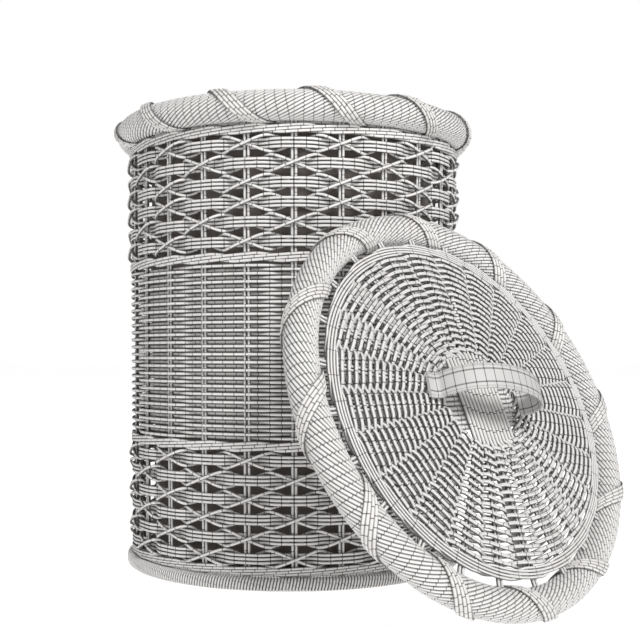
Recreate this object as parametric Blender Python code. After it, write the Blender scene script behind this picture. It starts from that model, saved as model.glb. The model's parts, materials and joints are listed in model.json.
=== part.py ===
"""Round woven laundry basket on a wrapped foot, with a wrapped rim roll, a fabric liner and a loose lid.

The basket stands upright. Its lid is off and stands on edge on the same floor, leaning against the
basket's front right side with its strap handle facing out. Metres, +Z up, floor at z = 0, and the origin
is the middle of the whole footprint. Angles round the basket start at -Y and grow towards +X.
"""

from math import cos, pi, radians, sin

import bmesh
import bpy
from mathutils import Matrix, Vector

# ---- driving dimensions, in metres and degrees
STAKES = 24                 # upright pairs of rods round the wall
STAKE_R = 0.2100            # radius of the circle that the stakes stand on
ROD_R = 0.0019              # radius of one stake rod
ROD_OFF = 0.0020            # half the distance between the two rods of a pair
STRAND = 0.0036             # thickness of a weaving strand
GAP = 0.0003                # clearance between touching pieces
JOINT_GAP = 0.0004          # gap between the two ends of a wrapping

FOOT_IN, FOOT_OUT, FOOT_H = 0.2065, 0.2215, 0.0168
WALING_LEVELS = {           # bottom and top of each rope-like row of strands
    "waling_bottom": (0.0196, 0.0267),
    "waling_lower": (0.1605, 0.1732),
    "waling_upper": (0.3780, 0.3908),
    "waling_top": (0.5228, 0.5354),
}
MID_LOW, MID_HIGH = 0.1738, 0.3775      # close-woven middle band
LOWER_FIRST, LOWER_PITCH = 0.0369, 0.02268   # openwork courses, counted upwards
UPPER_FIRST, UPPER_PITCH = 0.4026, 0.02230
LOWER_PHASES = "BABABA"     # A: crossing strands on odd stakes, B: on even ones
UPPER_PHASES = "ABAABA"
COURSE_H = 0.0112           # three strands high
COURSE_FRONT, COURSE_BACK = 0.0051, 0.0046   # how far a course swings out and in of the stakes

RIM_R, RIM_Z = 0.2144, 0.5560
ROLL_CORE, ROLL_IN, ROLL_OUT = 0.0148, 0.0158, 0.0180
BAND_IN, BAND_OUT = 0.0191, 0.0204
ROLL_SIDES = 8
BAND_TURNS = 12             # turns of the raised band round a roll
BAND_HALF = 2.6             # half width of the raised band, degrees round the rim
RIM_BAND_PHASE = 13.7

BASE_R = 0.2030
STICKS, STICK_PITCH, STICK_T = 6, 0.0062, 0.0036
STICK_Z = 0.0096
LINER_OUT, LINER_T, LINER_LOW, LINER_TOP = 0.1915, 0.0015, 0.0245, 0.5430
HEM_H, HEM_OUT = 0.0200, 0.1930

LID_ROLL_R = 0.2197
LID_TURN, LID_LEAN = 39.6, 26.1         # which way the lid faces, and how far it leans back
LID_XY = (0.1864, -0.2830)              # lid centre from the basket's axis
LID_RING_OUT, LID_RING_IN = 0.1965, 0.1850
LID_RING_H, LID_CROWN_H = 0.0060, 0.0200     # spoke level at the ring and at the crown
LID_WEAVE_IN, LID_HUB_IN, LID_HUB_OUT = 0.0560, 0.0562, 0.0600
LID_BAND_PHASE = 2.9
SLATH_RODS, SLATH_PITCH, SLATH_HALF = 12, 0.0054, 0.0530
STRAP_LEFT, STRAP_RIGHT = 0.0660, 0.0610     # how far the strap's arch reaches to each side
STRAP_LEFT_END, STRAP_RIGHT_END = -80.0, 122.0    # the arch's ends, in degrees from its top
STRAP_TOP, STRAP_LEFT_LOW, STRAP_RIGHT_LOW = 0.0746, 0.0300, 0.0288
STRAP_TAB, STRAP_TAB_LOW = 0.0140, 0.0272    # the left foot's tab, flat on the rows
STRAP_W, STRAP_T, STRAP_TURN = 0.0290, 0.0032, -12.0


def finish(name, color, roughness):
    """A plain finish in one colour."""
    mat = bpy.data.materials.new(name)
    mat.use_nodes = True
    bsdf = mat.node_tree.nodes["Principled BSDF"]
    bsdf.inputs["Base Color"].default_value = (*color, 1.0)
    bsdf.inputs["Roughness"].default_value = roughness
    return mat


def frame(name, matrix):
    """An empty that carries the pieces of one moving body."""
    empty = bpy.data.objects.new(name, None)
    bpy.context.scene.collection.objects.link(empty)
    empty.matrix_world = matrix
    return empty


class Shape:
    """Collects closed solids, and becomes one named object."""

    def __init__(self):
        self.verts = []
        self.faces = []

    def sweep(self, sections, loop=False):
        """A solid through a row of cross-sections with the same number of corners each."""
        n, start = len(sections[0]), len(self.verts)
        for section in sections:
            self.verts.extend(tuple(p) for p in section)
        last = len(sections) if loop else len(sections) - 1
        for i in range(last):
            a, b = start + i * n, start + ((i + 1) % len(sections)) * n
            for k in range(n):
                m = (k + 1) % n
                self.faces.append((a + k, a + m, b + m, b + k))
        if not loop:
            self.faces.append(tuple(start + k for k in range(n)))
            self.faces.append(tuple(start + (len(sections) - 1) * n + k for k in range(n)))

    def shell(self, outer, inner):
        """A tube with a wall between two rows of rings, closed at both ends."""
        n, start = len(outer[0]), len(self.verts)
        for section in outer + inner:
            self.verts.extend(tuple(p) for p in section)
        rows = len(outer)
        for i in range(rows - 1):
            for side in (0, rows):
                a, b = start + (side + i) * n, start + (side + i + 1) * n
                for k in range(n):
                    m = (k + 1) % n
                    self.faces.append((a + k, a + m, b + m, b + k))
        for i in (0, rows - 1):
            a, b = start + i * n, start + (rows + i) * n
            for k in range(n):
                m = (k + 1) % n
                self.faces.append((a + k, a + m, b + m, b + k))

    def build(self, name, parent, mat, smooth=False):
        """Links the object under its frame."""
        mesh = bpy.data.meshes.new(name)
        mesh.from_pydata(self.verts, [], self.faces)
        mesh.update()
        bm = bmesh.new()
        bm.from_mesh(mesh)
        bmesh.ops.recalc_face_normals(bm, faces=bm.faces)
        bmesh.ops.triangulate(bm, faces=bm.faces)
        bm.to_mesh(mesh)
        bm.free()
        if smooth:
            mesh.shade_smooth()
            mesh.set_sharp_from_angle(angle=radians(50))
        mesh.materials.append(mat)
        obj = bpy.data.objects.new(name, mesh)
        bpy.context.scene.collection.objects.link(obj)
        obj.parent = parent
        return obj


def polar(radius, degrees_round, z):
    """A point at an angle round the basket."""
    a = radians(degrees_round)
    return Vector((radius * sin(a), -radius * cos(a), z))


def lid_polar(radius, degrees_round, z):
    """A point on the lid: the angle starts at its +X side and grows towards +Y, z is along its outward face."""
    a = radians(degrees_round)
    return Vector((radius * cos(a), radius * sin(a), z))


def turned(shape, outline, steps, phase=0.0, to_point=polar):
    """A closed outline turned round the axis, touching it nowhere."""
    shape.sweep([[to_point(r, phase + i * 360 / steps, z) for r, z in outline] for i in range(steps)],
                loop=True)


def facet_ring(r_in, r_out, z0, z1):
    """A ring of flat facets, one centred on each stake. The radii are those at the stakes."""
    shape, step = Shape(), 360 / STAKES
    grow = 1 / cos(radians(step / 2))
    turned(shape, [(r_in * grow, z0), (r_out * grow, z0), (r_out * grow, z1), (r_in * grow, z1)],
           STAKES, step / 2)
    return shape


def woven_course(z, crossing_odd):
    """One course of strands side by side: outside the plain stakes and inside the crossed ones."""
    shape, step = Shape(), 360 / STAKES
    half_h, half_t = COURSE_H / 2, STRAND / 2
    sections = []
    for k in range(STAKES):
        behind = (k % 2 == 1) == crossing_odd
        r = STAKE_R + (-COURSE_BACK if behind else COURSE_FRONT)
        sections.append([polar(r - half_t, k * step, z - half_h), polar(r + half_t, k * step, z - half_h),
                         polar(r + half_t, k * step, z + half_h), polar(r - half_t, k * step, z + half_h)])
    shape.sweep(sections, loop=True)
    return shape


def stake_cage():
    """The stakes, each pair as one flat post, standing in the hoop that the foot is bound to."""
    shape, step = Shape(), 360 / STAKES
    half_w, levels = ROD_R + ROD_OFF, (FOOT_H + GAP, FOOT_H + 0.0024, 0.5380)
    index = {}
    for k in range(STAKES):
        a = radians(k * step)
        out, along = Vector((sin(a), -cos(a), 0)), Vector((cos(a), sin(a), 0))
        for s in (0, 1):
            for e in (0, 1):
                for h in range(3):
                    p = out * (STAKE_R + (ROD_R if e else -ROD_R)) + along * ((2 * s - 1) * half_w)
                    index[k, s, e, h] = len(shape.verts)
                    shape.verts.append((p.x, p.y, levels[h]))
    for k in range(STAKES):
        n = (k + 1) % STAKES
        for e in (0, 1):
            shape.faces.append(tuple(index[k, s, e, h] for s, h in ((0, 0), (1, 0), (1, 1), (0, 1))))
            shape.faces.append(tuple(index[k, s, e, h] for s, h in ((0, 1), (1, 1), (1, 2), (0, 2))))
            shape.faces.append((index[k, 1, e, 0], index[n, 0, e, 0], index[n, 0, e, 1], index[k, 1, e, 1]))
        for h in (0, 2):
            shape.faces.append(tuple(index[k, s, e, h] for s, e in ((0, 0), (1, 0), (1, 1), (0, 1))))
        for h in (0, 1):
            shape.faces.append((index[k, 1, 0, h], index[n, 0, 0, h], index[n, 0, 1, h], index[k, 1, 1, h]))
        for s in (0, 1):
            shape.faces.append((index[k, s, 0, 1], index[k, s, 1, 1], index[k, s, 1, 2], index[k, s, 0, 2]))
    return shape


def spoke_star(hub_in, hub_out, ends):
    """The lid's spokes, each pair as one flat arm, joined by the ring of turns that they are tied with."""
    shape, step = Shape(), 360 / STAKES
    half_w, index = ROD_R + ROD_OFF, {}
    radii = (hub_in, hub_out, *ends)
    for k in range(STAKES):
        a = radians(k * step)
        out, along = Vector((cos(a), sin(a), 0)), Vector((-sin(a), cos(a), 0))
        for s in (0, 1):
            for i, r in enumerate(radii):
                for e in (0, 1):
                    p = out * r + along * ((2 * s - 1) * half_w * (0.9 if i == 0 else 1))
                    index[k, s, i, e] = len(shape.verts)
                    shape.verts.append((p.x, p.y, lid_level(r) + (ROD_R if e else -ROD_R)))
    last = len(radii) - 1
    for k in range(STAKES):
        n = (k + 1) % STAKES
        for e in (0, 1):
            for i in range(last):
                shape.faces.append(tuple(index[k, s, j, e] for s, j in ((0, i), (1, i), (1, i + 1), (0, i + 1))))
            shape.faces.append((index[k, 1, 0, e], index[n, 0, 0, e], index[n, 0, 1, e], index[k, 1, 1, e]))
        for i in (0, last):
            shape.faces.append(tuple(index[k, s, i, e] for s, e in ((0, 0), (1, 0), (1, 1), (0, 1))))
        for i in (0, 1):
            shape.faces.append((index[k, 1, i, 0], index[n, 0, i, 0], index[n, 0, i, 1], index[k, 1, i, 1]))
        for s in (0, 1):
            for i in range(1, last):
                shape.faces.append((index[k, s, i, 0], index[k, s, i + 1, 0], index[k, s, i + 1, 1],
                                    index[k, s, i, 1]))
    return shape


def rod_mat(run, side, up, centre, count, pitch, height, reach):
    """Rods lying side by side as one mat, with a groove between neighbours. reach is a rod's half length."""
    shape, groove, low, top = Shape(), 0.0012, -height / 2, height / 2
    outline = [(-(count / 2) * pitch + GAP, low)]
    outline.append(((count / 2) * pitch - GAP, low))
    for i in reversed(range(count)):
        mid = (i - (count - 1) / 2) * pitch
        outline.append((mid + pitch / 2 - groove / 2, top))
        outline.append((mid - pitch / 2 + groove / 2, top))
        if i:
            outline.append((mid - pitch / 2, top - groove))
    shape.sweep([[centre + side * x + up * h + run * (sign * reach(x)) for x, h in outline] for sign in (-1, 1)])
    return shape


def roll_parts(prefix, parent, major, height, band_phase, to_point, mats):
    """A wrapped roll: a solid core, the wrapping round it, and one band wound round it in a long spiral."""
    core, wrap, band = Shape(), Shape(), Shape()
    angles = [2 * pi * i / ROLL_SIDES for i in range(ROLL_SIDES)]

    def ring(tube, at):
        return [to_point(major + tube * cos(a), at, height + tube * sin(a)) for a in angles]

    core.sweep([ring(ROLL_CORE, i * 10) for i in range(36)], loop=True)
    trim = (JOINT_GAP / 2 / major) * 180 / pi
    stops = [trim] + [i * 10 for i in range(1, 36)] + [360 - trim]
    wrap.shell([ring(ROLL_OUT, a) for a in stops], [ring(ROLL_IN, a) for a in stops])
    sections = []
    for i in range(BAND_TURNS * ROLL_SIDES):
        theta = 2 * pi * i / ROLL_SIDES
        at = band_phase - i * 360 / BAND_TURNS / ROLL_SIDES
        sections.append([to_point(major + tube * cos(theta), at + side * BAND_HALF, height + tube * sin(theta))
                         for side, tube in ((-1, BAND_IN), (1, BAND_IN), (1, BAND_OUT), (-1, BAND_OUT))])
    band.sweep(sections, loop=True)
    core.build(prefix + "_core", parent, mats["core"], smooth=True)
    wrap.build(prefix + "_wrap", parent, mats["wrap"], smooth=True)
    band.build(prefix + "_spiral_band", parent, mats["bands"], smooth=True)


def build_wall(base, mats):
    """Foot, base, stakes, walings, woven bands and rim roll."""
    c = 0.0026
    foot = Shape()
    turned(foot, [(FOOT_IN + c, 0), (FOOT_OUT - c, 0), (FOOT_OUT, 0.0035), (FOOT_OUT, FOOT_H - 0.0035),
                  (FOOT_OUT - c, FOOT_H), (FOOT_IN + c, FOOT_H), (FOOT_IN, FOOT_H - 0.0035),
                  (FOOT_IN, 0.0035)], 48)
    foot.build("foot_border", base, mats["foot"], smooth=True)

    x, y, z = Vector((1, 0, 0)), Vector((0, 1, 0)), Vector((0, 0, 1))
    for name, run, side, level in (("base_sticks_lower", x, y, STICK_Z),
                                   ("base_sticks_upper", y, x, STICK_Z + STICK_T + GAP)):
        mat = rod_mat(run, side, z, z * (level + STICK_T / 2), STICKS, STICK_PITCH, STICK_T,
                      lambda off: ((FOOT_IN - 0.0020) ** 2 - off ** 2) ** 0.5)
        mat.build(name, base, mats["stick"])
    floor = Shape()
    low = STICK_Z + 2 * (STICK_T + GAP)
    floor.sweep([[polar(BASE_R, i * 360 / 48, level) for i in range(48)] for level in (low, low + 0.0060)])
    floor.build("base_weave", base, mats["weave"])
    stake_cage().build("stakes", base, mats["stake"])

    reach = ROD_R + GAP
    for name, (z0, z1) in WALING_LEVELS.items():
        facet_ring(STAKE_R + reach, STAKE_R + reach + 0.0046, z0, z1).build(name + "_outer", base, mats["waling"])
        facet_ring(STAKE_R - reach - 0.0046, STAKE_R - reach, z0, z1).build(name + "_inner", base, mats["waling"])
    for name, r_in in (("middle_weave_outer", STAKE_R + reach), ("middle_weave_inner", STAKE_R - reach - STRAND)):
        facet_ring(r_in, r_in + STRAND, MID_LOW, MID_HIGH).build(name, base, mats["weave"])
    for name, first, pitch, phases in (("lower_course", LOWER_FIRST, LOWER_PITCH, LOWER_PHASES),
                                       ("upper_course", UPPER_FIRST, UPPER_PITCH, UPPER_PHASES)):
        for row, phase in enumerate(phases):
            woven_course(first + row * pitch, phase == "A").build(f"{name}_{row + 1}", base, mats["weave"])
    roll_parts("rim", base, RIM_R, RIM_Z, RIM_BAND_PHASE, polar, mats)


def build_liner(carrier, mats):
    """A cylindrical fabric bag with a flat floor, open at the top, and the hem round its mouth."""
    r, t, low, high = LINER_OUT, LINER_T, LINER_LOW, LINER_TOP
    n = 36
    bag = Shape()
    rings = [(r, low), (r, high), (r - t, high), (r - t, low + t)]
    bag.sweep([[polar(q, i * 360 / n, z) for i in range(n)] for q, z in rings])
    bag.build("liner_bag", carrier, mats["cloth"], smooth=True)
    hem = Shape()
    turned(hem, [(r + GAP, high - HEM_H), (HEM_OUT, high - HEM_H), (HEM_OUT, high), (r + GAP, high)], n)
    hem.build("liner_hem", carrier, mats["hem"], smooth=True)


def lid_level(radius):
    """Height of the spokes above the roll's middle plane: a low, even crown."""
    share = min(1.0, radius / LID_RING_OUT)
    return LID_CROWN_H + (LID_RING_H - LID_CROWN_H) * share * share


def strap_trail():
    """The strap's middle line from its left tab to its right end: distance along it, and height."""
    tab = STRAP_LEFT + STRAP_TAB
    trail = [(-tab, STRAP_TAB_LOW), (-tab + STRAP_TAB * 0.6, STRAP_TAB_LOW)]
    for end, reach, low, steps in ((STRAP_LEFT_END, STRAP_LEFT, STRAP_LEFT_LOW, 8),
                                   (STRAP_RIGHT_END, STRAP_RIGHT, STRAP_RIGHT_LOW, 11)):
        widest = max(sin(radians(min(abs(end), 90))), 0.1)
        half = []
        for i in range(steps + 1):
            a = radians(end * i / steps)
            share = (cos(a) - cos(radians(end))) / (1 - cos(radians(end)))
            half.append((reach * sin(a) / widest, low + (STRAP_TOP - low) * share))
        trail.extend(half[::-1] if end < 0 else half[1:])
    return trail


def build_lid(carrier, mats):
    """The lid in its own frame, +Z out of its face and +Y up its slope."""
    roll_parts("lid_rim", carrier, LID_ROLL_R, 0.0, LID_BAND_PHASE, lid_polar, mats)
    spoke_star(LID_HUB_IN, LID_HUB_OUT, (0.1300, 0.2008)).build("lid_spokes", carrier, mats["stake"])
    reach = ROD_R + GAP + 0.0012
    stops = (LID_WEAVE_IN, 0.1180, 0.1840)
    for name, sign in (("face", 1), ("back", -1)):
        near = [(r, lid_level(r) + sign * reach) for r in stops]
        far = [(r, lid_level(r) + sign * (reach + STRAND)) for r in stops]
        panel = Shape()
        turned(panel, near + far[::-1], STAKES, to_point=lid_polar)
        panel.build("lid_weave_" + name, carrier, mats["weave"])
        ring = Shape()
        turned(ring, [(r, lid_level(r) + sign * h) for r, h in
                      ((LID_RING_IN, reach), (LID_RING_OUT, reach), (LID_RING_OUT, reach + 0.0046),
                       (LID_RING_IN, reach + 0.0046))], STAKES, to_point=lid_polar)
        ring.build("lid_waling_" + name, carrier, mats["waling"])

    x, y, z = Vector((1, 0, 0)), Vector((0, 1, 0)), Vector((0, 0, 1))
    for name, run, side, level in (("upright", y, x, LID_CROWN_H + 0.0021),
                                   ("crosswise", x, y, LID_CROWN_H - 0.0021)):
        mat = rod_mat(run, side, z, z * level, SLATH_RODS, SLATH_PITCH, 2 * ROD_R,
                      lambda off: (SLATH_HALF ** 2 - off ** 2) ** 0.5)
        mat.build("lid_slath_" + name, carrier, mats["stake"])

    turn = Matrix.Rotation(radians(STRAP_TURN), 3, "Z")
    run, side = turn @ x, turn @ y
    strap, trail, sections = Shape(), strap_trail(), []
    for i, (reach_along, high) in enumerate(trail):
        before, after = trail[max(i - 1, 0)], trail[min(i + 1, len(trail) - 1)]
        normal = (z * (after[0] - before[0]) - run * (after[1] - before[1])).normalized()
        mid = run * reach_along + z * high
        sections.append([mid + side * (p * STRAP_W / 2) + normal * (q * STRAP_T / 2)
                         for p, q in ((-1, -1), (1, -1), (1, 1), (-1, 1))])
    strap.sweep(sections)
    strap.build("lid_handle_strap", carrier, mats["strap"], smooth=True)


def lowest(obj):
    """The lowest world height of an object's corners."""
    return min((obj.matrix_world @ v.co).z for v in obj.data.vertices)


def main():
    """Builds every piece, stands the lid on the floor and centres the footprint on the origin."""
    for old in list(bpy.data.objects):
        bpy.data.objects.remove(old, do_unlink=True)
    rattan = (0.80, 0.77, 0.73)
    mats = {
        "foot": finish("foot_wrap", (0.76, 0.73, 0.69), 0.6),
        "stick": finish("base_stick", (0.70, 0.66, 0.60), 0.6),
        "weave": finish("weaver", rattan, 0.6),
        "stake": finish("stake_rod", (0.78, 0.75, 0.70), 0.55),
        "waling": finish("waling_rod", (0.79, 0.76, 0.72), 0.6),
        "core": finish("roll_core", (0.66, 0.60, 0.52), 0.7),
        "wrap": finish("roll_wrap", (0.81, 0.79, 0.75), 0.55),
        "bands": finish("roll_band", (0.85, 0.83, 0.80), 0.55),
        "cloth": finish("liner_cloth", (0.50, 0.46, 0.43), 0.9),
        "hem": finish("liner_hem", (0.46, 0.42, 0.39), 0.9),
        "strap": finish("strap_splint", (0.88, 0.87, 0.85), 0.5),
    }
    basket = frame("basket_frame", Matrix.Identity(4))
    liner = frame("liner_frame", Matrix.Identity(4))
    turn, lean = radians(LID_TURN), radians(LID_LEAN)
    out = Vector((sin(turn) * cos(lean), -cos(turn) * cos(lean), sin(lean)))
    level = Vector((cos(turn), sin(turn), 0))
    up = out.cross(level)
    pose = Matrix((level, up, out)).transposed().to_4x4()
    pose.translation = Vector((*LID_XY, 0.3))
    lid = frame("lid_frame", pose)
    build_wall(basket, mats)
    build_liner(liner, mats)
    build_lid(lid, mats)
    bpy.context.view_layer.update()
    solids = [o for o in bpy.context.scene.objects if o.type == "MESH"]
    drop = min(lowest(o) for o in solids if o.parent == lid)
    lid.location.z -= drop
    bpy.context.view_layer.update()
    points = [o.matrix_world @ v.co for o in solids for v in o.data.vertices]
    mid_x = (min(p.x for p in points) + max(p.x for p in points)) / 2
    mid_y = (min(p.y for p in points) + max(p.y for p in points)) / 2
    for carrier in (basket, liner, lid):
        carrier.location.x -= mid_x
        carrier.location.y -= mid_y
    bpy.context.view_layer.update()


main()
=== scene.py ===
"""Looks of a round woven laundry basket: every strand of its wall, rolls, foot and lid, and its cloth liner.

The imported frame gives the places: the wall stands on the axis of its stakes, and the lid leans against it.
Angles round the wall start at -Y and grow towards +X. Angles on the lid start at its level side and grow
up its slope, seen from outside. All lengths are metres.
"""

import json
import logging
import math
from collections.abc import Sequence
from dataclasses import dataclass
from enum import Enum

import bpy
import numpy as np
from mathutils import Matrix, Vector

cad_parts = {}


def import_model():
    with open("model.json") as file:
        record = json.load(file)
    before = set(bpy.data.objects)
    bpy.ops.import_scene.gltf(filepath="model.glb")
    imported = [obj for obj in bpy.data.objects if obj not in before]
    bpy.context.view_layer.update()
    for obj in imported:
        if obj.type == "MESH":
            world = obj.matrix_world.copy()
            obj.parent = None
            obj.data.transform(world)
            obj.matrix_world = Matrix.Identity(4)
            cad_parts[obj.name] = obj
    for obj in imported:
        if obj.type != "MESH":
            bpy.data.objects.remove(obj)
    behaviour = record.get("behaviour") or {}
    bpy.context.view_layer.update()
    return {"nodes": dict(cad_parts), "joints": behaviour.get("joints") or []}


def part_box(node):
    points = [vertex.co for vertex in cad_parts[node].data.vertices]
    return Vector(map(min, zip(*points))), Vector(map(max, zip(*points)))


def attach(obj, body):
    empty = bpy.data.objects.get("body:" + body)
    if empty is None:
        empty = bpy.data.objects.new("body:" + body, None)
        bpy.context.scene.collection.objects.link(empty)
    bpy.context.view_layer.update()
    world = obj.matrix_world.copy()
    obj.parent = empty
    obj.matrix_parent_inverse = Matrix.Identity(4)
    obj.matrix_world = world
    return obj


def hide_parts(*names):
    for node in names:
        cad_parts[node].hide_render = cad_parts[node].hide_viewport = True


LOG = logging.getLogger("woven_basket")
STAKES = 24
STEP = 360.0 / STAKES       # degrees from one stake to the next
ROD_R = 0.0019              # radius of a stake rod
ROD_OFF = 0.0022            # half the distance between the two rods of a pair
GRAIN = "grain"             # name of the map that runs along and around each strand
Row = np.ndarray


# ---- shader desk


class Value:
    """A number that varies over a surface, held as a node socket. Arithmetic on it adds Math nodes."""

    def __init__(self, desk: "Desk", socket: bpy.types.NodeSocket) -> None:
        """Wraps a socket of the desk's tree."""
        self.desk = desk
        self.socket = socket

    def math(self, operation: str, *others: "Value | float", first: "Value | float | None" = None) -> "Value":
        """Adds one Math node.

        Args:
            operation: the node's operation.
            others: the inputs after the first.
            first: the first input, where it isn't this value.

        Returns:
            The node's result.
        """
        start = self if first is None else first
        values = dict(enumerate((start, *others)))
        return Value(self.desk, self.desk.node("ShaderNodeMath", {"operation": operation}, values).outputs[0])

    def __add__(self, other: "Value | float") -> "Value":
        """This plus other."""
        return self.math("ADD", other)

    def __sub__(self, other: "Value | float") -> "Value":
        """This less other."""
        return self.math("SUBTRACT", other)

    def __rsub__(self, other: float) -> "Value":
        """Other less this."""
        return self.math("SUBTRACT", self, first=other)

    def __mul__(self, other: "Value | float") -> "Value":
        """This times other."""
        return self.math("MULTIPLY", other)

    def __truediv__(self, other: "Value | float") -> "Value":
        """This over other."""
        return self.math("DIVIDE", other)

    __radd__ = __add__
    __rmul__ = __mul__

    def clamped(self) -> "Value":
        """This value kept from 0 to 1."""
        return self.math("MAXIMUM", 0.0).math("MINIMUM", 1.0)

    def stripe(self, pitch: float, width: float) -> "Value":
        """A soft line at every multiple of pitch.

        Args:
            pitch: distance between lines.
            width: width of a line, in the same unit.

        Returns:
            1 on a line, falling to 0 at its edges.
        """
        place = (self / pitch + 0.5).math("FRACT")
        near = (place - 0.5).math("ABSOLUTE") * (2 * pitch / width)
        return (1.0 - near * near).clamped()


class Desk:
    """One material's node tree, and the ways that nodes are added to it."""

    def __init__(self, name: str) -> None:
        """Starts a material with a Principled shader."""
        self.material = bpy.data.materials.new(name)
        self.material.use_nodes = True
        self.tree = self.material.node_tree
        self.shader = self.tree.nodes["Principled BSDF"]

    def node(self, kind: str, settings: dict[str, object], values: dict[int | str, object]) -> bpy.types.Node:
        """Adds a node, sets it, and then fills its sockets.

        Args:
            kind: the node's type.
            settings: its properties.
            values: socket name or number to a Value, a socket or a constant.

        Returns:
            The node.
        """
        made = self.tree.nodes.new(kind)
        for key, setting in settings.items():
            setattr(made, key, setting)
        for key, value in values.items():
            self.fill(made.inputs[key], value)
        return made

    def fill(self, socket: bpy.types.NodeSocket, value: object) -> None:
        """Links a Value or a socket, or sets a constant."""
        if isinstance(value, Value):
            self.tree.links.new(value.socket, socket)
        elif isinstance(value, bpy.types.NodeSocket):
            self.tree.links.new(value, socket)
        else:
            socket.default_value = value

    def grain(self) -> tuple[Value, Value]:
        """The place along a strand in metres, and round it from 0 to 1."""
        spot = self.node("ShaderNodeUVMap", {"uv_map": GRAIN}, {})
        parts = self.node("ShaderNodeSeparateXYZ", {}, {0: spot.outputs[0]})
        return Value(self, parts.outputs[0]), Value(self, parts.outputs[1])

    def noise(self, x: Value, y: Value, scale: float, detail: float = 3.0) -> Value:
        """Noise over two coordinates, from 0 to 1."""
        spot = self.node("ShaderNodeCombineXYZ", {}, {0: x, 1: y})
        values = {"Vector": spot.outputs[0], "Scale": scale, "Detail": detail}
        made = self.node("ShaderNodeTexNoise", {}, values)
        return Value(self, made.outputs[0])

    def solid_noise(self, scale: float, detail: float = 2.0) -> Value:
        """Noise through the object's own space, from 0 to 1."""
        spot = self.node("ShaderNodeTexCoord", {}, {})
        values = {"Vector": spot.outputs["Object"], "Scale": scale, "Detail": detail}
        made = self.node("ShaderNodeTexNoise", {}, values)
        return Value(self, made.outputs[0])

    def mix(self, share: Value, dark: Sequence[float], light: object) -> bpy.types.NodeSocket:
        """Mixes two colours: dark where share is 0, light where it is 1."""
        values = {0: share, 6: self.colour(dark), 7: self.colour(light)}
        made = self.node("ShaderNodeMix", {"data_type": "RGBA"}, values)
        return made.outputs[2]

    @staticmethod
    def colour(value: object) -> object:
        """A colour with its alpha, or the socket as it is."""
        return (*value, 1.0) if isinstance(value, tuple) and len(value) == 3 else value

    def bump(self, height: Value, strength: float, distance: float) -> None:
        """Feeds a Bump node into the shader's Normal."""
        made = self.node("ShaderNodeBump", {}, {"Strength": strength, "Distance": distance, "Height": height})
        self.fill(self.shader.inputs["Normal"], made.outputs[0])


# ---- finishes


@dataclass(frozen=True)
class StrandFinish:
    """Limewashed cane, with thin dark rings across it, fine fibres along it, and painted shade darkening its
    sides.
    """

    name: str
    light: tuple[float, float, float] = (0.87, 0.86, 0.85)
    dark: tuple[float, float, float] = (0.68, 0.66, 0.645)
    line: tuple[float, float, float] = (0.035, 0.032, 0.030)
    rough: float = 0.55
    ring_pitch: float = 0.01374     # distance between two rings
    ring_width: float = 0.0013
    ring_depth: float = 0.85
    fibre_lines: float = 8.0        # lengthwise lines round a strand
    fibre_depth: float = 0.35
    painted_side_shade: float = 0.95            # painted shade: how dark the sides are, where strands touch

    def material(self) -> bpy.types.Material:
        """Builds the finish."""
        desk = Desk(self.name)
        along, around = desk.grain()
        fibre = desk.noise(along * 60.0, around * 9.0, 4.0)
        patch = desk.solid_noise(38.0)
        rings = along.stripe(self.ring_pitch, self.ring_width) * self.ring_depth
        lines = around.stripe(1.0 / self.fibre_lines, 0.22 / self.fibre_lines) * self.fibre_depth
        # Painted shade: the colour darkens towards the strand's sides, standing in for the shade where
        # strands touch.
        beside = (around * math.tau).math("COSINE")
        painted_side_shade = (beside * beside).math("POWER", 1.5) * self.painted_side_shade
        tone = (fibre * 0.6 + patch * 0.7 - 0.15).clamped()
        wood = desk.mix(tone, self.dark, self.light)
        # The dark marks: the cane's rings and fibre lines, and the painted side shade.
        marks = (rings + lines + painted_side_shade).clamped()
        desk.fill(desk.shader.inputs["Base Color"], desk.mix(1.0 - marks, self.line, wood))
        desk.fill(desk.shader.inputs["Roughness"], (fibre * 0.2 + marks * 0.2 + (self.rough - 0.1)).clamped())
        desk.bump((1.0 - marks) * 0.8 + fibre * 0.2, 0.35, 0.0004)
        return desk.material


@dataclass(frozen=True)
class ClothFinish:
    """Plain woven cotton, seen close: crossing threads and soft wear."""

    name: str
    light: tuple[float, float, float] = (0.29, 0.255, 0.235)
    dark: tuple[float, float, float] = (0.175, 0.15, 0.135)
    thread: float = 0.0011          # pitch of the threads
    rough: float = 0.92

    def material(self) -> bpy.types.Material:
        """Builds the finish."""
        desk = Desk(self.name)
        along, up = desk.grain()
        warp = (along * (math.tau / self.thread)).math("SINE")
        weft = (up * (math.tau / self.thread)).math("SINE")
        weave = warp * weft * 0.5 + 0.5
        patch = desk.solid_noise(14.0, 4.0)
        slub = desk.noise(along * 40.0, up * 900.0, 1.0)
        tone = (weave * 0.25 + patch * 0.6 + slub * 0.3 - 0.1).clamped()
        desk.fill(desk.shader.inputs["Base Color"], desk.mix(tone, self.dark, self.light))
        desk.fill(desk.shader.inputs["Roughness"], (slub * 0.08 + (self.rough - 0.05)).clamped())
        desk.shader.inputs["Sheen Weight"].default_value = 0.2
        desk.bump(weave * 0.7 + slub * 0.3, 0.4, 0.0004)
        return desk.material


@dataclass(frozen=True)
class CoreFinish:
    """Bare cane inside the rolls."""

    name: str
    light: tuple[float, float, float] = (0.42, 0.38, 0.33)
    dark: tuple[float, float, float] = (0.26, 0.23, 0.19)
    rough: float = 0.65

    def material(self) -> bpy.types.Material:
        """Builds the finish."""
        desk = Desk(self.name)
        patch, fine = desk.solid_noise(30.0), desk.solid_noise(260.0, 4.0)
        tone = (patch * 0.6 + fine * 0.6 - 0.1).clamped()
        desk.fill(desk.shader.inputs["Base Color"], desk.mix(tone, self.dark, self.light))
        desk.fill(desk.shader.inputs["Roughness"], (fine * 0.2 + (self.rough - 0.1)).clamped())
        desk.bump(fine, 0.3, 0.0004)
        return desk.material


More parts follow.
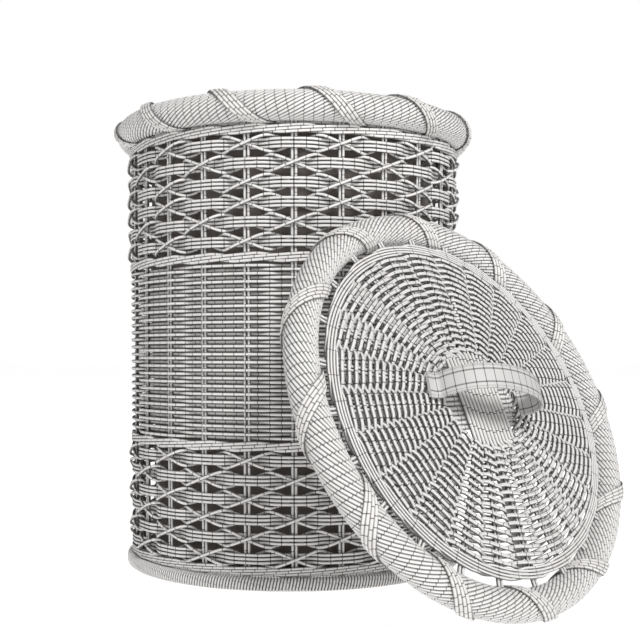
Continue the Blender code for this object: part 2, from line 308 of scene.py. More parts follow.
@dataclass(frozen=True)
class PlainFinish:
    """The studio's floor."""

    name: str
    tone: tuple[float, float, float]
    rough: float = 0.9
    glow: float = 0.85              # lifts the floor to the white of the surround

    def material(self) -> bpy.types.Material:
        """Builds the finish."""
        desk = Desk(self.name)
        desk.shader.inputs["Base Color"].default_value = (*self.tone, 1.0)
        desk.shader.inputs["Roughness"].default_value = self.rough
        desk.shader.inputs["Emission Color"].default_value = (1.0, 1.0, 1.0, 1.0)
        desk.shader.inputs["Emission Strength"].default_value = self.glow
        return desk.material


# ---- places and strands


@dataclass(frozen=True)
class Place:
    """A round frame: an origin, the directions of angle 0 and 90 degrees, and its axis."""

    origin: Row
    zero: Row
    quarter: Row
    axis: Row

    def spoke(self, degrees: Row | float) -> Row:
        """Directions away from the axis at these angles."""
        a = np.radians(np.asarray(degrees, float))
        return np.cos(a)[..., None] * self.zero + np.sin(a)[..., None] * self.quarter

    def point(self, radius: Row | float, degrees: Row | float, height: Row | float) -> Row:
        """Points at a radius, an angle and a height along the axis."""
        radius, degrees, height = np.broadcast_arrays(radius, degrees, height)
        return self.origin + radius[..., None] * self.spoke(degrees) + height[..., None] * self.axis

    def flat(self, x: Row | float, y: Row | float, height: Row | float) -> Row:
        """Points at two distances along the directions of angle 0 and 90, and a height."""
        x, y, height = np.broadcast_arrays(x, y, height)
        return (self.origin + x[..., None] * self.zero + y[..., None] * self.quarter
                + height[..., None] * self.axis)


def unit(rows: Row) -> Row:
    """Each row scaled to length 1."""
    return rows / np.maximum(np.linalg.norm(rows, axis=-1, keepdims=True), 1e-12)


def plateau(wave: Row | float, gain: float = 1.5) -> Row:
    """A wave from -1 to 1 made flatter at its tops, so that a strand lies along what it crosses."""
    return np.sin(np.clip(np.asarray(wave) * gain, -1, 1) * math.pi / 2)


class Strands:
    """Round or flat strands gathered into one piece."""

    def __init__(self) -> None:
        """Starts with no strand."""
        self.points: list[Row] = []
        self.corners: list[Row] = []
        self.sizes: list[Row] = []
        self.grain: list[Row] = []
        self.count = 0

    def lay(self, line: Row, facing: Row, width: float | Row, depth: float | Row | None = None,
            sides: int = 8, loop: bool = False, along: Row | None = None, square: float = 2.0) -> None:
        """Lays one strand along a line.

        Args:
            line: the centre line's points.
            facing: the way that the strand's flat side looks, at each point or for all.
            width: width across, at each point or for all.
            depth: thickness, where it isn't the width.
            sides: corners of the cross-section.
            loop: whether the last point joins the first.
            along: the grain's place at each point, and one more where it is a loop.
            square: 2 for an oval section, more for a boxy one.
        """
        count = len(line)
        if loop:
            tangent = unit(np.roll(line, -1, 0) - np.roll(line, 1, 0))
        else:
            tangent = unit(np.gradient(line, axis=0))
        facing = np.broadcast_to(facing, line.shape)
        up = unit(facing - (facing * tangent).sum(1)[:, None] * tangent)
        side = np.cross(tangent, up)
        turn = np.arange(sides) * math.tau / sides
        across = np.sign(np.cos(turn)) * np.abs(np.cos(turn)) ** (2 / square)
        through = np.sign(np.sin(turn)) * np.abs(np.sin(turn)) ** (2 / square)
        half_w = np.broadcast_to(np.asarray(width, float) / 2, count)[:, None, None]
        thick = np.asarray(width if depth is None else depth, float)
        half_d = np.broadcast_to(thick / 2, count)[:, None, None]
        rings = (line[:, None] + side[:, None] * across[None, :, None] * half_w
                 + up[:, None] * through[None, :, None] * half_d)
        if along is None:
            steps = np.linalg.norm(np.diff(line, axis=0, append=line[:1]), axis=1)
            along = np.concatenate([[0.0], np.cumsum(steps)])
        rows = count if loop else count - 1
        i, k = np.meshgrid(np.arange(rows), np.arange(sides), indexing="ij")
        j, m = (i + 1) % count, (k + 1) % sides
        quads = np.stack([i * sides + k, j * sides + k, j * sides + m, i * sides + m], -1).reshape(-1, 4)
        start, end = along[i], along[i + 1]
        low, high = k / sides, (k + 1) / sides
        grain = np.stack([np.stack([start, low], -1), np.stack([end, low], -1), np.stack([end, high], -1),
                          np.stack([start, high], -1)], 2).reshape(-1, 2)
        self.points.append(rings.reshape(-1, 3))
        self.corners.append(quads.ravel() + self.count)
        self.sizes.append(np.full(len(quads), 4))
        self.grain.append(grain)
        if not loop:
            first = np.arange(sides)
            for cap, at in ((first, along[0]), ((count - 1) * sides + first[::-1], along[count - 1])):
                self.corners.append(cap + self.count)
                self.sizes.append(np.array([sides]))
                self.grain.append(np.tile([at + 0.3, 0.06], (sides, 1)))
        self.count += count * sides

    def skin(self, grid: Row, grain: Row) -> None:
        """Adds a closed skin from rings of points: each ring closes, and the last joins the first.

        Args:
            grid: the rings.
            grain: the map at each point, with one more row and column where they close.
        """
        rows, cols = grid.shape[:2]
        i, k = np.meshgrid(np.arange(rows), np.arange(cols), indexing="ij")
        j, m = (i + 1) % rows, (k + 1) % cols
        quads = np.stack([i * cols + k, i * cols + m, j * cols + m, j * cols + k], -1).reshape(-1, 4)
        around = [grain[i, k], grain[i, k + 1], grain[i + 1, k + 1], grain[i + 1, k]]
        marks = np.stack(around, 2).reshape(-1, 2)
        self.points.append(grid.reshape(-1, 3))
        self.corners.append(quads.ravel() + self.count)
        self.sizes.append(np.full(len(quads), 4))
        self.grain.append(marks)
        self.count += rows * cols

    def build(self, name: str, finish: StrandFinish | ClothFinish, body: str, slot: str,
              *nodes: str) -> bpy.types.Object:
        """Makes the piece, dresses it and sets it on its body.

        Args:
            name: the piece's name.
            finish: its finish.
            body: the body that it rides on.
            slot: the record's material slot; not used.
            nodes: the frame's nodes that it stands for.

        Returns:
            The piece.
        """
        points = np.concatenate(self.points).astype(np.float32)
        corners = np.concatenate(self.corners).astype(np.int32)
        sizes = np.concatenate(self.sizes).astype(np.int32)
        mesh = bpy.data.meshes.new(name)
        mesh.vertices.add(len(points))
        mesh.vertices.foreach_set("co", points.ravel())
        mesh.loops.add(len(corners))
        mesh.loops.foreach_set("vertex_index", corners)
        mesh.polygons.add(len(sizes))
        mesh.polygons.foreach_set("loop_start", np.concatenate([[0], np.cumsum(sizes)[:-1]]).astype(np.int32))
        mesh.update(calc_edges=True)
        marks = mesh.uv_layers.new(name=GRAIN)
        marks.data.foreach_set("uv", np.concatenate(self.grain).astype(np.float32).ravel())
        mesh.shade_smooth()
        mesh.set_sharp_from_angle(angle=math.radians(60))
        mesh.materials.append(dressing(finish))
        piece = bpy.data.objects.new(name, mesh)
        bpy.context.scene.collection.objects.link(piece)
        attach(piece, body)
        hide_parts(*nodes)
        LOG.info("%s: %d faces", name, len(sizes))
        return piece


MADE: dict[str, bpy.types.Material] = {}


def dressing(finish: StrandFinish | ClothFinish | CoreFinish | PlainFinish) -> bpy.types.Material:
    """The finish's material, built once."""
    if finish.name not in MADE:
        MADE[finish.name] = finish.material()
    return MADE[finish.name]


def dress_node(frame: dict, node: str, finish: CoreFinish) -> None:
    """Gives a node of the frame a finish that needs no map of its own."""
    mesh = frame["nodes"][node].data
    mesh.materials.clear()
    mesh.materials.append(dressing(finish))


# ---- weaves that the wall and the lid share


@dataclass(frozen=True)
class Waling:
    """Several strands twined round the stakes: each lies before all but one, and slants across its turn."""

    rods: int
    steps: int = 10             # points from one stake to the next

    def lines(self) -> list[tuple[Row, Row, Row]]:
        """Angles, shares out of the stakes from -1 to 1, and shares across the row, for each strand."""
        found = []
        steps = STAKES * self.steps
        degrees = np.arange(steps) * 360.0 / steps
        for rod in range(self.rods):
            x = np.mod(degrees / STEP - rod, self.rods)
            behind = np.minimum(x, self.rods - x)
            out = -plateau(np.cos(np.clip(behind, 0, 1) * math.pi), 1.4)
            front = np.clip((x - 0.75) / (self.rods - 1.5), 0, 1)
            back = np.where(x < 0.75, 0.5 - x / 1.5, 0.5 + (self.rods - x) / 1.5)
            across = np.where((x < 0.75) | (x > self.rods - 0.75), back, front)
            found.append((degrees, out, (across - 0.5) * (self.rods - 2)))
        return found


@dataclass(frozen=True)
class WalingRow:
    """One of the wall's walings."""

    name: str
    height: float
    strand: float
    follower: tuple[float, float] | None = None     # a plain rod's share out of the stakes, and its rise


WALING_RODS = 4
WALINGS = (WalingRow("waling_bottom", 0.0230, 0.0037, (0.5, -0.0044)),
           WalingRow("waling_lower", 0.1668, 0.0043),
           WalingRow("waling_upper", 0.3844, 0.0043),
           WalingRow("waling_top", 0.5303, 0.0042, (-1.0, 0.0082)))


class Crossed(Enum):
    """Which stakes a course's crossing strands pass in front of."""

    ODD = 1
    EVEN = 0


# ---- the wrapped roll


@dataclass
class Roll:
    """A ring of rods wrapped round with strands, and one band of four strands wound over them."""

    place: Place
    major: float
    height: float
    band_phase: float
    body: str
    prefix: str
    tube: float = 0.0161            # radius of the circle on which the wrapping lies
    wraps: int = 24
    wrap_turns: float = 7.5
    wrap_width: float = 0.0038
    band_tube: float = 0.0197
    band_turns: int = 12
    band_strands: int = 4
    band_pitch: float = 1.36        # degrees round the roll from one band strand to the next
    band_width: float = 0.0044
    band_depth: float = 0.0036
    band_points: int = 26           # points on one turn of the band
    squeeze: float = 0.0            # how far the band is pressed in under the roll

    def on_tube(self, tube: Row | float, around: Row, degrees: Row) -> tuple[Row, Row]:
        """Points on the roll's tube, and the way out of it there.

        Args:
            tube: distance from the roll's own centre line.
            around: angle round that line, in radians; 0 is outermost and a quarter turn is on top.
            degrees: angle round the ring.

        Returns:
            The points, and the directions.
        """
        facing = (np.cos(around)[:, None] * self.place.spoke(degrees)
                  + np.sin(around)[:, None] * self.place.axis)
        middle = self.place.point(self.major, degrees, self.height)
        return middle + np.asarray(tube)[..., None] * facing, facing

    def wrapping(self, finish: StrandFinish, slot: str) -> None:
        """The strands that cover the roll side by side, rising to the right."""
        cover, steps = Strands(), 300
        degrees = np.linspace(0.0, 360.0, steps + 1)
        for strand in range(self.wraps):
            around = math.tau * (strand / self.wraps + self.wrap_turns * degrees / 360.0)
            line, facing = self.on_tube(np.full(steps + 1, self.tube), around, degrees)
            cover.lay(line, facing, self.wrap_width, 0.0034, sides=6)
        cover.build(self.prefix + "_wrapping", finish, self.body, slot, self.prefix + "_wrap")

    def bands(self, finish: StrandFinish, slot: str) -> None:
        """The raised band, falling to the right as it crosses the outer face."""
        cover = Strands()
        steps = self.band_turns * self.band_points
        share = np.arange(steps) / steps
        around = math.tau * self.band_turns * share
        for strand in range(self.band_strands):
            beside = strand - (self.band_strands - 1) / 2
            degrees = self.band_phase - 360.0 * share + beside * self.band_pitch
            under = np.clip(-np.sin(around), 0, 1) ** 3
            rise = self.band_tube + 0.0004 * (1 - abs(beside) / 1.5) - self.squeeze * under
            line, facing = self.on_tube(rise, around, degrees)
            cover.lay(line, facing, self.band_width, self.band_depth, loop=True)
        cover.build(self.prefix + "_bands", finish, self.body, slot, self.prefix + "_spiral_band")


# ---- the wall


@dataclass
class Wall:
    """Foot, base, stakes, walings, courses and the close band."""

    place: Place
    radius: float = 0.2100
    body: str = "basket"
    strand: float = 0.0039          # weaving strand of the open courses
    course_pitch: float = 0.0045    # from one strand of a course to the next
    crossing: float = 0.0040        # width of a crossing strand
    arch: float = 0.0095            # how high a crossing strand arches over its course
    lower: tuple[float, float] = (0.0369, 0.02268)
    upper: tuple[float, float] = (0.4026, 0.02230)
    lower_order: tuple[Crossed, ...] = (Crossed.EVEN, Crossed.ODD) * 3
    upper_order: tuple[Crossed, ...] = (Crossed.ODD, Crossed.EVEN, Crossed.ODD, Crossed.ODD, Crossed.EVEN,
                                        Crossed.ODD)
    band: tuple[float, float] = (0.1738, 0.3775)
    band_rows: int = 44
    band_depth: float = 0.0034      # thickness of a row of the close band
    foot_strand: float = 0.0034
    foot_pitch: float = 0.0038      # from one turn round the foot to the next
    base_rows: int = 44
    base_first: float = 0.0290      # radius of the base's first row
    base_pitch: float = 0.0040
    base_strand: tuple[float, float] = (0.0039, 0.0034)
    hub_rods: int = 14
    hub_pitch: float = 0.0042
    hub_radius: float = 0.0298
    foot: tuple[float, float, float] = (0.2065, 0.2215, 0.0168)
    stake_top: float = 0.5405

    def stakes(self, finish: StrandFinish) -> None:
        """Pairs of upright rods."""
        cover = Strands()
        rng = np.random.default_rng(11)
        height = np.linspace(self.foot[2] - 0.004, self.stake_top, 40)
        for stake in range(STAKES):
            for side in (-1, 1):
                sway = np.cumsum(rng.normal(0, 0.00006, len(height)))
                sway -= np.linspace(sway[0], sway[-1], len(height))
                angle = stake * STEP + np.degrees((side * ROD_OFF + sway) / self.radius)
                line = self.place.point(self.radius, angle, height)
                cover.lay(line, self.place.spoke(stake * STEP), 2 * ROD_R, along=height + 0.004 * side)
        cover.build("stake_rods", finish, self.body, "stake_rod", "stakes")

    def waling(self, row: WalingRow, finish: StrandFinish) -> None:
        """One twined row, and its follower where it has one."""
        cover = Strands()
        reach = ROD_R + row.strand / 2 + 0.0001
        for rod, (degrees, out, across) in enumerate(Waling(WALING_RODS).lines()):
            height = row.height + across * row.strand * 1.10
            line = self.place.point(self.radius + reach * out, degrees, height)
            along = np.radians(np.append(degrees, 360.0)) * self.radius + rod * 0.0031
            cover.lay(line, self.place.spoke(degrees), row.strand * 0.94, row.strand * 0.96, loop=True,
                      along=along)
        if row.follower:
            share, rise = row.follower
            cover.lay(self.place.point(self.radius + reach * share, degrees, row.height + rise),
                      self.place.spoke(degrees), row.strand, loop=True, along=along)
        cover.build(row.name + "_strands", finish, self.body, "waling_rod", row.name + "_outer",
                    row.name + "_inner")

    def course(self, name: str, height: float, crossed: Crossed, finish: StrandFinish) -> None:
        """Three strands side by side, before every other stake and behind those between."""
        cover, steps = Strands(), STAKES * 8
        degrees = np.arange(steps) * 360.0 / steps
        out = -plateau(np.cos((degrees / STEP - crossed.value) * math.pi), 1.35) * (ROD_R + self.strand / 2)
        along = np.radians(np.append(degrees, 360.0)) * self.radius
        for place_in_course in (-1, 0, 1):
            line = self.place.point(self.radius + out, degrees, height + place_in_course * self.course_pitch)
            cover.lay(line, self.place.spoke(degrees), self.strand, loop=True, along=along)
        cover.build(name + "_strands", finish, self.body, "open_weaver", name)

    def crossings(self, name: str, heights: Sequence[float], order: Sequence[Crossed],
                  finish: StrandFinish) -> None:
        """The two strands that arch over and under each course and cross before every other stake."""
        cover, steps = Strands(), STAKES * 10
        degrees = np.arange(steps) * 360.0 / steps
        along = np.radians(np.append(degrees, 360.0)) * self.radius * 1.08
        near, far = ROD_R + self.crossing / 2, ROD_R + self.crossing * 1.5
        for height, crossed in zip(heights, order):
            x = (degrees / STEP - crossed.value) * math.pi
            for rising, reach in ((1, far), (-1, near)):
                wave = np.cos(x)
                back = near if rising > 0 else far
                out = np.where(wave > 0, reach * plateau(wave, 1.15), back * plateau(wave, 1.15))
                swing = np.arcsin(0.95 * np.sin(x)) / math.asin(0.95)
                line = self.place.point(self.radius + out, degrees, height + rising * self.arch * swing)
                cover.lay(line, self.place.spoke(degrees), self.crossing, loop=True, along=along)
        cover.build(name, finish, self.body, "open_weaver")

    def open_bands(self, finish: StrandFinish) -> None:
        """The two openwork bands, six courses each."""
        for word, (first, pitch), order in (("lower", self.lower, self.lower_order),
                                            ("upper", self.upper, self.upper_order)):
            heights = [first + pitch * row for row in range(len(order))]
            for row, (height, crossed) in enumerate(zip(heights, order), 1):
                self.course(f"{word}_course_{row}", height, crossed, finish)
            self.crossings(f"{word}_crossing_strands", heights, order, finish)

    def close_band(self, finish: StrandFinish) -> None:
        """Rows over two stakes and under two, each row moved on by two."""
        cover, steps = Strands(), STAKES * 6
        degrees = np.arange(steps) * 360.0 / steps
        along = np.radians(np.append(degrees, 360.0)) * self.radius
        pitch = (self.band[1] - self.band[0]) / self.band_rows
        width, depth = pitch * 0.84, self.band_depth
        for row in range(self.band_rows):
            x = (degrees / STEP + 2 * (row % 2) - 0.5) * math.pi / 2
            out = plateau(np.cos(x), 1.5) * (ROD_R + depth / 2)
            height = self.band[0] + pitch * (row + 0.5)
            line = self.place.point(self.radius + out, degrees, height)
            cover.lay(line, self.place.spoke(degrees), width, depth, loop=True, along=along)
        cover.build("middle_rows", finish, self.body, "close_weaver", "middle_weave_outer",
                    "middle_weave_inner")

    def foot_ring(self, finish: StrandFinish) -> None:
        """Strands wound round the foot, each leaning a little."""
        cover, thick = Strands(), self.foot_strand
        inner, outer, high = self.foot
        mid, half_r, half_h = (inner + outer) / 2, (outer - inner - thick) / 2, (high - thick) / 2
        turns = round(math.tau * outer / self.foot_pitch)
        a = np.arange(16) * math.tau / 16
        across = np.sign(np.cos(a)) * np.abs(np.cos(a)) ** 0.55 * half_r
        tall = np.sign(np.sin(a)) * np.abs(np.sin(a)) ** 0.55 * half_h
        for turn in range(turns):
            angle = turn * 360.0 / turns + tall / half_h * 0.42
            line = self.place.point(mid + across, angle, high / 2 + tall)
            facing = np.cos(a)[:, None] * self.place.spoke(angle) + np.sin(a)[:, None] * self.place.axis
            along = np.append(np.arange(16), 16) * 0.0030 + turn * 0.0045
            cover.lay(line, facing, thick, loop=True, along=along)
        cover.build("foot_wraps", finish, self.body, "foot_wrap", "foot_border")

    def base(self, rods: StrandFinish, rows: StrandFinish) -> None:
        """The crossed sticks under the base, and its round rows."""
        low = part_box("base_sticks_lower")[0].z
        thick, count, pitch = 0.0036, 6, 0.0062
        reach = (self.foot[0] - 0.0030)
        layers = (("lower", True, low + thick / 2), ("upper", False, low + thick * 1.5 + 3e-4))
        for name, lengthwise, level in layers:
            sticks = Strands()
            for stick in range(count):
                beside = (stick - (count - 1) / 2) * pitch
                run = np.linspace(-1, 1, 30) * math.sqrt(reach * reach - beside * beside)
                line = self.place.flat(*((run, beside) if lengthwise else (beside, run)), level)
                sticks.lay(line, self.place.axis, pitch * 0.93, thick)
            sticks.build(f"base_sticks_{name}_rods", rods, self.body, "base_stick", "base_sticks_" + name)
        floor, steps = Strands(), 144
        degrees = np.arange(steps) * 360.0 / steps
        bottom, top = (corner.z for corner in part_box("base_weave"))
        for row in range(self.base_rows):
            wave = plateau(np.cos((degrees / STEP + row) * math.pi), 1.3) * 0.0011
            radius = self.base_first + row * self.base_pitch
            line = self.place.point(radius, degrees, (bottom + top) / 2 + wave)
            floor.lay(line, self.place.axis, *self.base_strand, sides=6, loop=True)
        hub, span = Strands(), np.linspace(-1, 1, 12)
        for stick in range(self.hub_rods):
            beside = (stick - (self.hub_rods - 1) / 2) * self.hub_pitch
            run = span * math.sqrt(max(self.hub_radius ** 2 - beside * beside, 1e-6))
            hub.lay(self.place.flat(run, beside, (bottom + top) / 2), self.place.axis, 0.0041, 0.0034)
        floor.build("base_rows", rows, self.body, "base_weaver", "base_weave")
        hub.build("base_hub_rods", rods, self.body, "base_weaver")


# ---- the liner


@dataclass
class Liner:
    """A cloth bag that stands inside the wall, with a turned hem round its mouth."""

    place: Place
    radius: float = 0.1906
    low: float = 0.0245
    top: float = 0.5430
    cloth: float = 0.0012
    hem: float = 0.0200
    fold: float = 0.0058            # depth of the deepest fold
    columns: int = 300

    def slack(self, degrees: Row, height: Row) -> Row:
        """How far the cloth falls in from its cylinder: soft upright folds, and creases where it settles."""
        a, t = np.radians(degrees), (height - self.low) / (self.top - self.low)
        drift = 0.9 * np.sin(3.1 * t + 2 * a) + 0.5 * np.sin(7.3 * t - 3 * a + 1.1)
        wide = (0.5 + 0.5 * np.sin(7 * a + drift * 2)) ** 2 * self.fold
        narrow = (0.5 + 0.5 * np.sin(16 * a + 1.7 - 2.6 * drift)) ** 3 * self.fold * 0.55
        held = 0.12 + 0.88 * np.sin(math.pi * np.clip(t, 0, 1)) ** 0.7
        low_down = np.exp(-((t - 0.14) / 0.17) ** 2)
        settle = (0.5 + 0.5 * np.sin(34 * t + 3 * np.sin(4 * a + 0.6))) ** 2 * self.fold * 0.45 * low_down
        return (wide + narrow) * held + settle

    def skin(self, outer: Row, inner: Row, lengths: Row) -> Strands:
        """A closed skin between two grids that share their edges."""
        made = Strands()
        around = np.linspace(0, math.tau * self.radius, outer.shape[1] + 1)
        run = np.concatenate([lengths, lengths[::-1], lengths[:1]])
        made.skin(np.concatenate([outer, inner[::-1]]), np.stack(np.meshgrid(around, run), -1))
        return made

    def side(self, finish: ClothFinish) -> bpy.types.Object:
        """The bag's upright cloth."""
        degrees = np.arange(self.columns) * 360.0 / self.columns
        height = np.linspace(self.low, self.top, 90)
        a, z = np.meshgrid(degrees, height)
        r = self.radius - self.slack(a, z)
        made = self.skin(self.place.point(r, a, z), self.place.point(r - self.cloth, a, z), height)
        piece = made.build("liner_side", finish, "liner", "liner_cloth", "liner_bag")
        return piece

    def floor(self, finish: ClothFinish) -> None:
        """The bag's round bottom, slightly rumpled."""
        degrees = np.arange(self.columns // 2) * 720.0 / self.columns
        share = np.linspace(0.02, 0.985, 36)
        a, s = np.meshgrid(degrees, share)
        rad = np.radians(a)
        rumple = 0.0012 * np.sin(5 * rad + 9 * s) * np.sin(11 * s + 2 * np.sin(3 * rad)) * np.sin(math.pi * s)
        z = self.low + 0.0030 + np.abs(rumple)
        lower = self.place.point(s * self.radius, a, z)
        upper = self.place.point(s * self.radius, a, z + self.cloth)
        made = self.skin(lower, upper, share * self.radius)
        piece = made.build("liner_floor", finish, "liner", "liner_cloth")

    def band(self, finish: ClothFinish) -> None:
        """The hem: the cloth's edge turned out and stitched, with a rolled lip."""
        degrees = np.arange(self.columns) * 360.0 / self.columns
        share = np.linspace(0, 1, 16)
        a, s = np.meshgrid(degrees, share)
        z = self.top - self.hem + s * self.hem + 0.0004 * np.sin(np.radians(7 * a))
        puff = 0.0007 * np.sin(math.pi * s) ** 0.5 + 0.0002 * np.sin(np.radians(61 * a))
        outer = self.place.point(self.radius + 0.0010 + puff, a, z)
        inner = self.place.point(self.radius + 0.0004, a, z)
        made = self.skin(outer, inner, share * self.hem)
        piece = made.build("liner_band", finish, "liner", "liner_hem", "liner_hem")


# ---- the lid


@dataclass
class Lid:
    """Slath, spokes, twined rows, edge waling and strap handle of the lid, whose wrapped roll a Roll builds.
    """

    place: Place
    body: str = "lid"
    ring: float = 0.1965
    crown: float = 0.0200
    edge: float = 0.0060
    rods: int = 12
    rod_pitch: float = 0.0054
    hub: float = 0.0700             # radius at which the rods have become spokes
    rod_taper: tuple[float, float] = (0.050, 0.080)     # radii between which a rod thins to a spoke
    rod_depth: float = 0.0040
    spoke_end: float = 0.2040
    edge_rods: int = 5
    edge_strand: float = 0.0032
    edge_radius: float = 0.1898
    edge_spread: float = 1.22       # from one edge strand to the next, in strands
    first_row: float = 0.0580
    rows: int = 16
    row_pitch: float = 0.0081
    strand: float = 0.0047
    strand_depth: float = 0.0039
    strap_left: tuple[float, float, float] = (0.0660, -80.0, 0.0300)   # reach, angle from the top, height
    strap_right: tuple[float, float, float] = (0.0610, 122.0, 0.0288)
    strap_top: float = 0.0746
    strap_tab: tuple[float, float] = (0.0140, 0.0272)                  # length and height of the left tab
    strap_width: float = 0.0290
    strap_thick: float = 0.0032
    strap_turn: float = -12.0

    def level(self, radius: Row | float) -> Row:
        """Height of the spokes above the roll's middle plane."""
        share = np.minimum(1.0, np.asarray(radius) / self.ring)
        return self.crown + (self.edge - self.crown) * share * share

    def slath(self, finish: StrandFinish) -> None:
        """Rods side by side over the middle that spread in pairs and run on as the spokes."""
        for name, turned, lift, nodes in (("upright", 90.0, 1, ("lid_slath_upright", "lid_spokes")),
                                          ("crosswise", 0.0, -1, ("lid_slath_crosswise",))):
            cover = Strands()
            for rod in range(self.rods):
                beside = (rod - (self.rods - 1) / 2) * self.rod_pitch
                halves = [self.rod_half(turned, rod, beside, lift, far) for far in (False, True)]
                line = np.concatenate([halves[1][::-1], halves[0]])
                run = np.linalg.norm(line - self.place.origin, axis=1)
                width = np.interp(run, self.rod_taper, [self.rod_pitch * 0.99, 2 * ROD_R])
                depth = np.interp(run, self.rod_taper, [self.rod_depth, 2 * ROD_R])
                cover.lay(line, self.place.axis, width, depth)
            cover.build(f"lid_rods_{name}", finish, self.body, "slath_rod", *nodes)

    def rod_half(self, turned: float, rod: int, beside: float, lift: int, far: bool) -> Row:
        """Half of a slath rod, from the middle out to the roll.

        Args:
            turned: direction in which the rods run, in degrees.
            rod: which rod it is.
            beside: its distance from the middle rod line.
            lift: 1 for the rods on top, -1 for those below.
            far: whether it is the half that runs the other way.

        Returns:
            The points of its line.
        """
        sign = -1 if far else 1
        heading = math.radians(turned + (180.0 if far else 0.0))
        pair = rod // 2 if not far else (self.rods - 1 - rod) // 2
        hand = 1 if (rod % 2 == 0) != far else -1
        spoke = turned + (180.0 if far else 0.0) + (self.rods / 4 - pair) * STEP
        ahead = np.array([math.cos(heading), math.sin(heading)])
        left = np.array([-ahead[1], ahead[0]])
        start = -sign * beside
        flat = [ahead * t + left * start for t in np.linspace(0.0, 0.051 - 0.12 * abs(beside), 8)]
        out = np.array([math.cos(math.radians(spoke)), math.sin(math.radians(spoke))])
        aside = np.array([-out[1], out[0]]) * hand * ROD_OFF
        spread = [out * r + aside for r in np.linspace(self.hub, self.spoke_end, 30)]
        bend = [flat[-1] + (spread[0] - flat[-1]) * (t * t * (3 - 2 * t)) for t in np.linspace(0, 1, 8)[1:-1]]
        trail = np.array(flat + bend + spread)
        radius = np.linalg.norm(trail, axis=1)
        high = self.level(radius) + lift * 0.0021 * np.clip((self.hub - radius) / 0.014, 0, 1)
        return self.place.flat(trail[:, 0], trail[:, 1], high)

    def woven_rows(self, finish: StrandFinish) -> None:
        """Rows of two strands twined round the spokes."""
        cover, steps = Strands(), STAKES * 9
        degrees = np.arange(steps) * 360.0 / steps
        for row in range(self.rows):
            middle = self.first_row + row * self.row_pitch
            for strand in (0, 1):
                x = (degrees / STEP + strand) * math.pi
                out = plateau(np.cos(x), 1.35) * (ROD_R + self.strand_depth / 2)
                radius = middle + np.sin(x) * self.strand * 0.34
                along = np.radians(np.append(degrees, 360.0)) * middle
                cover.lay(self.place.point(radius, degrees, self.level(radius) + out), self.place.axis,
                          self.strand, self.strand_depth, loop=True, along=along)
        cover.build("lid_rows", finish, self.body, "lid_weaver", "lid_weave_face", "lid_weave_back")

    def edge_waling(self, finish: StrandFinish) -> None:
        """Five strands twined together just inside the roll."""
        cover, strand = Strands(), self.edge_strand
        for degrees, out, across in Waling(self.edge_rods).lines():
            radius = self.edge_radius + across * strand * self.edge_spread
            line = self.place.point(radius, degrees, self.level(radius) + out * (ROD_R + strand / 2))
            along = np.radians(np.append(degrees, 360.0)) * self.ring
            cover.lay(line, self.place.axis, strand, loop=True, along=along)
        cover.build("lid_edge_strands", finish, self.body, "waling_rod", "lid_waling_face", "lid_waling_back")

    def strap_trail(self) -> Row:
        """The strap's middle line: distance along it and height, from its left tab to its right end."""
        length, tab_low = self.strap_tab
        start = -self.strap_left[0] - length
        trail = [np.array([[start + length * share, tab_low] for share in (0.0, 0.35, 0.6)])]
        for reach, end, low in (self.strap_left, self.strap_right):
            a = np.radians(np.linspace(end, 0, 24) if end < 0 else np.linspace(0, end, 34)[1:])
            widest = math.sin(math.radians(min(abs(end), 90.0)))
            top = math.cos(math.radians(end))
            share = (np.cos(a) - top) / (1 - top)
            trail.append(np.stack([reach * np.sin(a) / widest, low + (self.strap_top - low) * share], -1))
        return np.concatenate(trail)

    def strap(self, finish: StrandFinish) -> None:
        """The arched strap, with a flat tab at its left foot."""
        turn = math.radians(self.strap_turn)
        run = math.cos(turn) * self.place.zero + math.sin(turn) * self.place.quarter
        trail = self.strap_trail()
        slope = np.gradient(trail, axis=0)
        middle = self.place.origin + np.outer(trail[:, 0], run) + np.outer(trail[:, 1], self.place.axis)
        facing = np.outer(slope[:, 0], self.place.axis) - np.outer(slope[:, 1], run)
        cover = Strands()
        cover.lay(middle, facing, self.strap_width, self.strap_thick, sides=28, square=5.0)
        cover.build("lid_strap", finish, self.body, "strap_splint", "lid_handle_strap")


# ---- the studio


